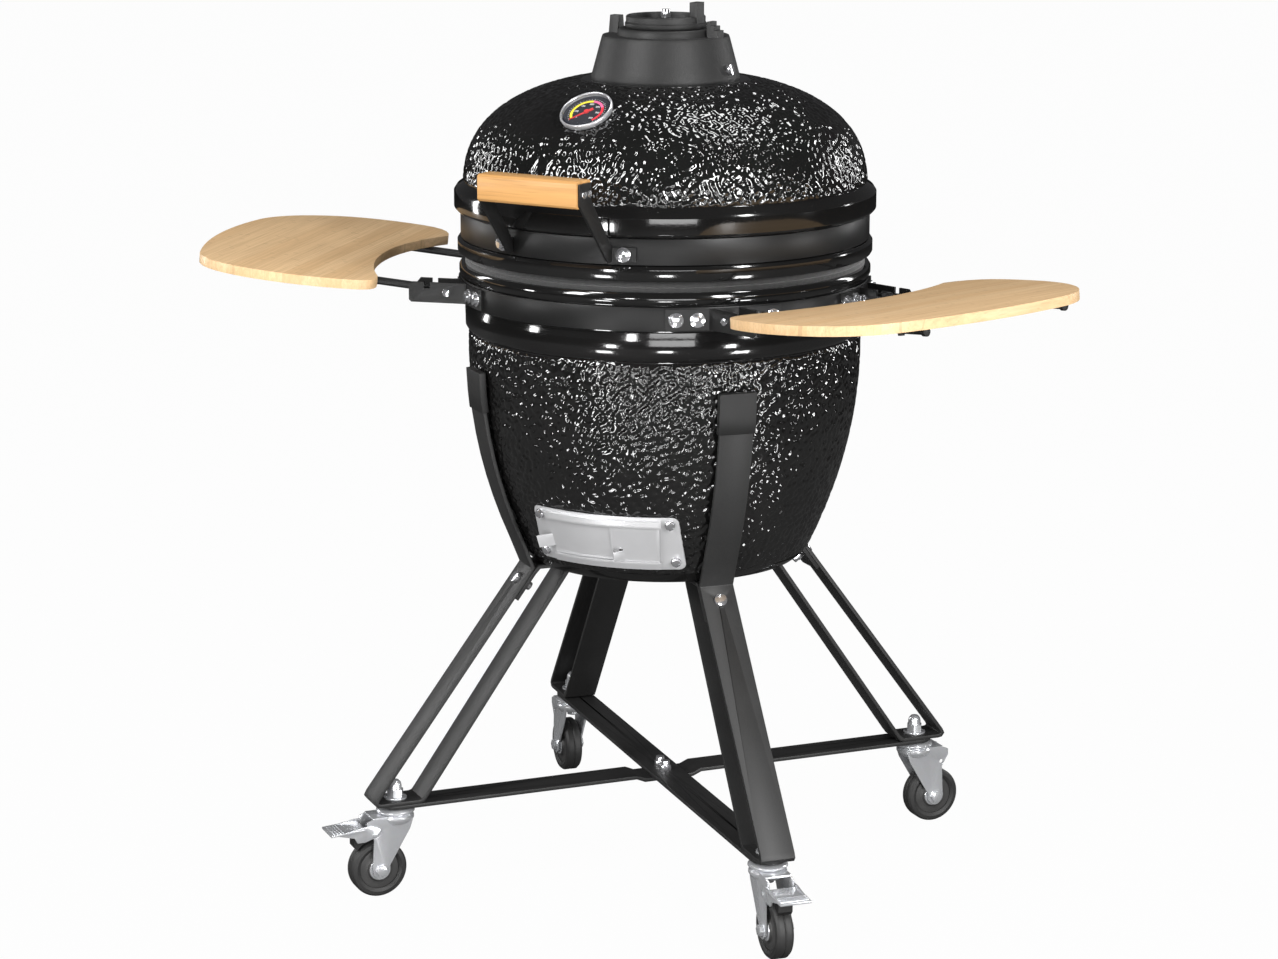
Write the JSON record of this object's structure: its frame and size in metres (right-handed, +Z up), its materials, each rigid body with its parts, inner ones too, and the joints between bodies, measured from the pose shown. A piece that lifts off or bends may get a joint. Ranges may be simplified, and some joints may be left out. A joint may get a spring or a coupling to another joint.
{
  "type": "kamado ceramic grill",
  "caption": "Egg-shaped ceramic charcoal grill with a hinged dome lid, bamboo handle and fold-down side shelves on a bent-bar stand with swivel casters.",
  "frame": {"origin": "on the floor, under the vertical axis of the ceramic body", "axes": "+Z up, -Y toward the handle side, +Y toward the lid's hinge, +X to the right-hand shelf"},
  "size_m": [1.184, 0.7437, 1.139],
  "materials": {
    "glaze": "deep black gloss glaze over a pebbled surface",
    "clay": "matte fired clay",
    "grate_iron": "matte cast",
    "grate_steel": "bright brushed",
    "felt": "dense heat-proof felt",
    "band_paint": "satin black powder coat",
    "stand_paint": "fine-textured charcoal powder coat",
    "cap_paint": "smooth black",
    "bolt_zinc": "bright plated",
    "stainless": "fine brushed",
    "caster_zinc": "bright zinc plate",
    "hub_grey": "grey moulded",
    "tyre_rubber": "matte black",
    "handle_bamboo": "clear-sealed bamboo",
    "bracket_paint": "satin black powder coat",
    "vent_iron": "matte black cast",
    "gauge_chrome": "polished",
    "dial_black": "printed black dial",
    "needle_red": "red enamel",
    "shelf_bamboo": "clear-sealed laminated bamboo",
    "rod_paint": "satin black powder coat"
  },
  "bodies": {
    "base": {"base_shell": "glaze", "fire_box": "clay", "charcoal_grate": "grate_iron", "cooking_grate": "grate_steel", "base_gasket": "felt", "lower_band": "band_paint", "leg_fl": "stand_paint", "leg_fr": "stand_paint", "leg_br": "stand_paint", "leg_bl": "stand_paint", "strap_caps": "cap_paint", "stand_bolts": "bolt_zinc", "brace_upper": "stand_paint", "brace_lower": "stand_paint", "door_frame": "stainless", "door_bolts": "bolt_zinc", "brackets_left": "band_paint", "brackets_right": "band_paint", "band_bolts": "bolt_zinc", "hinge_lower": "band_paint", "hinge_pin": "bolt_zinc", "shelf_pins": "bolt_zinc", "caster_stems": "caster_zinc", "caster_nuts": "caster_zinc"},
    "lid": {"lid_shell": "glaze", "lid_gasket": "felt", "upper_band": "band_paint", "handle_bar": "handle_bamboo", "handle_bracket_l": "bracket_paint", "handle_bracket_r": "bracket_paint", "handle_screws": "bolt_zinc", "lid_bolts": "bolt_zinc", "hinge_upper": "band_paint", "vent_base": "vent_iron", "vent_bolts": "bolt_zinc", "vent_stud": "bolt_zinc", "gauge_case": "gauge_chrome", "gauge_dial": "dial_black"},
    "vent_cap": {"vent_wheel": "vent_iron"},
    "needle": {"gauge_needle": "needle_red"},
    "door_sheet_left": {"door_left": "stainless"},
    "door_sheet_right": {"door_right": "stainless"},
    "side_shelf_right": {"shelf_right": "shelf_bamboo", "rods_right": "rod_paint"},
    "side_shelf_left": {"shelf_left": "shelf_bamboo", "rods_left": "rod_paint"},
    "caster_fl": {"fork_fl": "caster_zinc"},
    "wheel_fl": {"tyre_fl": "tyre_rubber", "hub_fl": "hub_grey"},
    "pedal_fl": {"brake_fl": "caster_zinc"},
    "caster_fr": {"fork_fr": "caster_zinc"},
    "wheel_fr": {"tyre_fr": "tyre_rubber", "hub_fr": "hub_grey"},
    "pedal_fr": {"brake_fr": "caster_zinc"},
    "caster_br": {"fork_br": "caster_zinc"},
    "wheel_br": {"tyre_br": "tyre_rubber", "hub_br": "hub_grey"},
    "caster_bl": {"fork_bl": "caster_zinc"},
    "wheel_bl": {"tyre_bl": "tyre_rubber", "hub_bl": "hub_grey"}
  },
  "joints": [
    {"name": "lid_hinge", "type": "hinge", "parent": "base", "child": "lid", "pos_m": [0, 0.302, 0.813], "axis": [-1, 0, 0], "range_deg": [0, 70]},
    {"name": "vent_turn", "type": "hinge", "parent": "lid", "child": "vent_cap", "pos_m": [0, 0, 1.108], "axis": [0, 0, 1], "range_deg": [0, 30]},
    {"name": "needle_turn", "type": "hinge", "parent": "lid", "child": "needle", "pos_m": [0, -0.19319, 1.01685], "axis": [0, 0.5476, -0.8368], "range_deg": [0, 270]},
    {"name": "door_left_slide", "type": "hinge", "parent": "base", "child": "door_sheet_left", "pos_m": [0, 0, 0.48], "axis": [0, 0, 1], "range_deg": [0, 12]},
    {"name": "door_right_slide", "type": "hinge", "parent": "base", "child": "door_sheet_right", "pos_m": [0, 0, 0.48], "axis": [0, 0, 1], "range_deg": [-5, 0]},
    {"name": "shelf_right_fold", "type": "hinge", "parent": "base", "child": "side_shelf_right", "pos_m": [0.24055, -0.06807, 0.77638], "axis": [0.2723, 0.9622, 0], "range_deg": [0, 95]},
    {"name": "shelf_left_fold", "type": "hinge", "parent": "base", "child": "side_shelf_left", "pos_m": [-0.24055, -0.06807, 0.77638], "axis": [0.2723, -0.9622, 0], "range_deg": [0, 95]},
    {"name": "swivel_fl", "type": "hinge", "parent": "base", "child": "caster_fl", "pos_m": [-0.22576, -0.30068, 0.1], "axis": [0, 0, 1], "continuous": true},
    {"name": "roll_fl", "type": "hinge", "parent": "caster_fl", "child": "wheel_fl", "pos_m": [-0.24137, -0.32147, 0.0375], "axis": [0.7997, -0.6004, 0], "continuous": true},
    {"name": "brake_fl_press", "type": "hinge", "parent": "caster_fl", "child": "pedal_fl", "pos_m": [-0.24617, -0.32787, 0.087], "axis": [0.7997, -0.6004, 0], "range_deg": [0, 6]},
    {"name": "swivel_fr", "type": "hinge", "parent": "base", "child": "caster_fr", "pos_m": [0.28845, -0.24119, 0.1], "axis": [0, 0, 1], "continuous": true},
    {"name": "roll_fr", "type": "hinge", "parent": "caster_fr", "child": "wheel_fr", "pos_m": [0.3084, -0.25786, 0.0375], "axis": [0.6414, 0.7672, 0], "continuous": true},
    {"name": "brake_fr_press", "type": "hinge", "parent": "caster_fr", "child": "pedal_fr", "pos_m": [0.31454, -0.26299, 0.087], "axis": [0.6414, 0.7672, 0], "range_deg": [0, 6]},
    {"name": "swivel_br", "type": "hinge", "parent": "base", "child": "caster_br", "pos_m": [0.22576, 0.30068, 0.1], "axis": [0, 0, 1], "continuous": true},
    {"name": "roll_br", "type": "hinge", "parent": "caster_br", "child": "wheel_br", "pos_m": [0.24137, 0.32147, 0.0375], "axis": [-0.7997, 0.6004, 0], "continuous": true},
    {"name": "swivel_bl", "type": "hinge", "parent": "base", "child": "caster_bl", "pos_m": [-0.28845, 0.24119, 0.1], "axis": [0, 0, 1], "continuous": true},
    {"name": "roll_bl", "type": "hinge", "parent": "caster_bl", "child": "wheel_bl", "pos_m": [-0.3084, 0.25786, 0.0375], "axis": [-0.6414, -0.7672, 0], "continuous": true}
  ]
}
